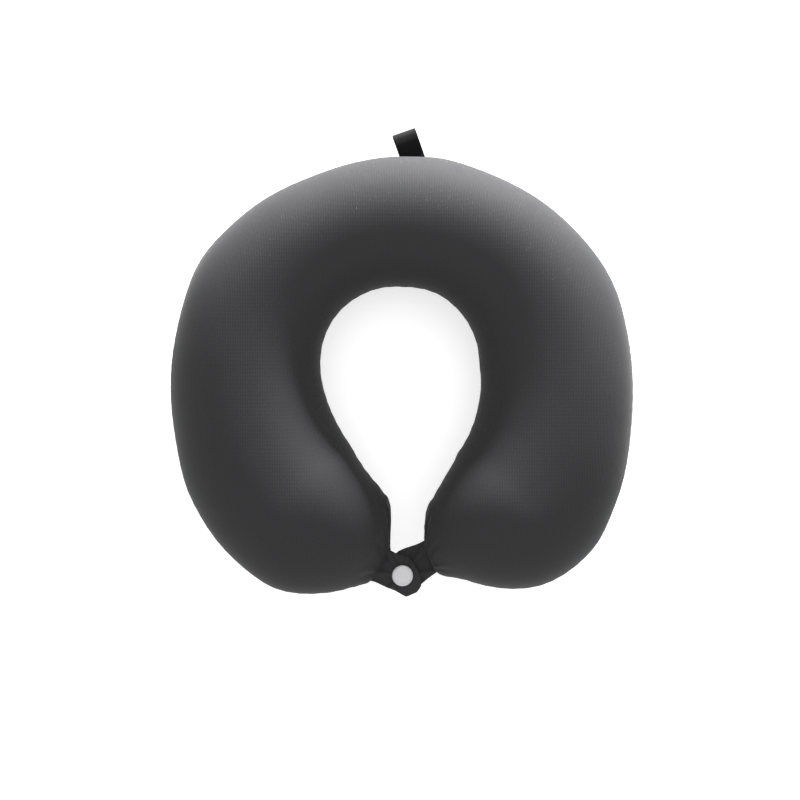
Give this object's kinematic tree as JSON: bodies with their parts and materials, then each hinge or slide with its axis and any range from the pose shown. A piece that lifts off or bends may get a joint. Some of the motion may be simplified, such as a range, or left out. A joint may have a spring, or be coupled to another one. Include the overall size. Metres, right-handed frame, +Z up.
{
  "type": "u shaped neck pillow",
  "caption": "U-shaped bead-filled travel neck pillow that lies flat, with a snap between the arm tips, a webbing hang loop at the back and a zip in the underside.",
  "frame": {"origin": "middle of the neck opening at floor level, which is the axis that the stuffed ring is built round", "axes": "+Z up from the floor the pillow lies flat on, +Y to the back of the neck with the hang loop, -Y to the tips that snap together, +X to the right arm as seen from above"},
  "size_m": [0.2802, 0.2792, 0.0871],
  "materials": {
    "cover_fabric": "charcoal fine-ribbed stretch knit with a soft sheen",
    "inner_bag": "thin dark nonwoven",
    "bead_fill": "fine expanded polystyrene beads",
    "zip_tape": "woven polyester tape",
    "zip_coil": "nylon coil",
    "zip_metal": "dark painted die-cast metal, satin",
    "webbing": "black flat woven webbing",
    "interlining": "stiff nonwoven",
    "snap_resin": "light grey moulded resin, satin"
  },
  "bodies": {
    "back": {"back_cover_top": "cover_fabric", "back_cover_bottom": "cover_fabric", "back_inner_bag": "inner_bag", "back_fill": "bead_fill", "zip_upper_tape": "zip_tape", "zip_lower_tape": "zip_tape", "zip_upper_coil": "zip_coil", "zip_lower_coil": "zip_coil", "zip_closed_end_stop": "zip_metal", "zip_open_end_stop": "zip_metal"},
    "zip_slider": {"zip_slider": "zip_metal"},
    "zip_puller": {"zip_puller": "zip_metal"},
    "hang_loop": {"hang_loop": "webbing"},
    "left_arm": {"left_arm_cover_top": "cover_fabric", "left_arm_cover_bottom": "cover_fabric", "left_arm_inner_bag": "inner_bag", "left_arm_fill": "bead_fill"},
    "right_arm": {"right_arm_cover_top": "cover_fabric", "right_arm_cover_bottom": "cover_fabric", "right_arm_inner_bag": "inner_bag", "right_arm_fill": "bead_fill"},
    "left_tab": {"left_tab": "cover_fabric", "left_tab_interlining": "interlining", "snap_cap": "snap_resin", "snap_socket": "snap_resin"},
    "right_tab": {"right_tab": "cover_fabric", "right_tab_interlining": "interlining", "snap_stud": "snap_resin", "snap_back_cap": "snap_resin"}
  },
  "joints": [
    {"name": "left_arm_spread", "type": "hinge", "parent": "back", "child": "left_arm", "pos_m": [-0.13254, 0.04824, 0.042], "axis": [0, 0, -1], "range_deg": [0, 18], "stiffness_Nm_per_rad": 1.2, "deforming": ["snap_socket"]},
    {"name": "right_arm_spread", "type": "hinge", "parent": "back", "child": "right_arm", "pos_m": [0.13254, 0.04824, 0.042], "axis": [0, 0, 1], "range_deg": [0, 18], "stiffness_Nm_per_rad": 1.2, "deforming": ["snap_socket"]},
    {"name": "left_tab_lift", "type": "hinge", "parent": "left_arm", "child": "left_tab", "pos_m": [-0.00905, -0.10815, 0.046], "axis": [-0.1045, -0.9945, 0], "range_deg": [0, 50], "stiffness_Nm_per_rad": 0.01},
    {"name": "right_tab_drop", "type": "hinge", "parent": "right_arm", "child": "right_tab", "pos_m": [0.00905, -0.10815, 0.0408], "axis": [0.1045, -0.9945, 0], "range_deg": [0, 50], "stiffness_Nm_per_rad": 0.01},
    {"name": "loop_swing", "type": "hinge", "parent": "back", "child": "hang_loop", "pos_m": [0.0058, 0.14, 0.042], "axis": [1, 0, 0], "range_deg": [-75, 75], "stiffness_Nm_per_rad": 0.01},
    {"name": "zip_run", "type": "hinge", "parent": "back", "child": "zip_slider", "pos_m": [0, 0, 0.01886], "axis": [0, 0, -1], "range_deg": [0, 71.2]},
    {"name": "puller_swing", "type": "hinge", "parent": "zip_slider", "child": "zip_puller", "pos_m": [-0.07948, 0.11101, 0.01886], "axis": [-0.2733, 0.3817, 0.8829], "range_deg": [0, 170]}
  ]
}
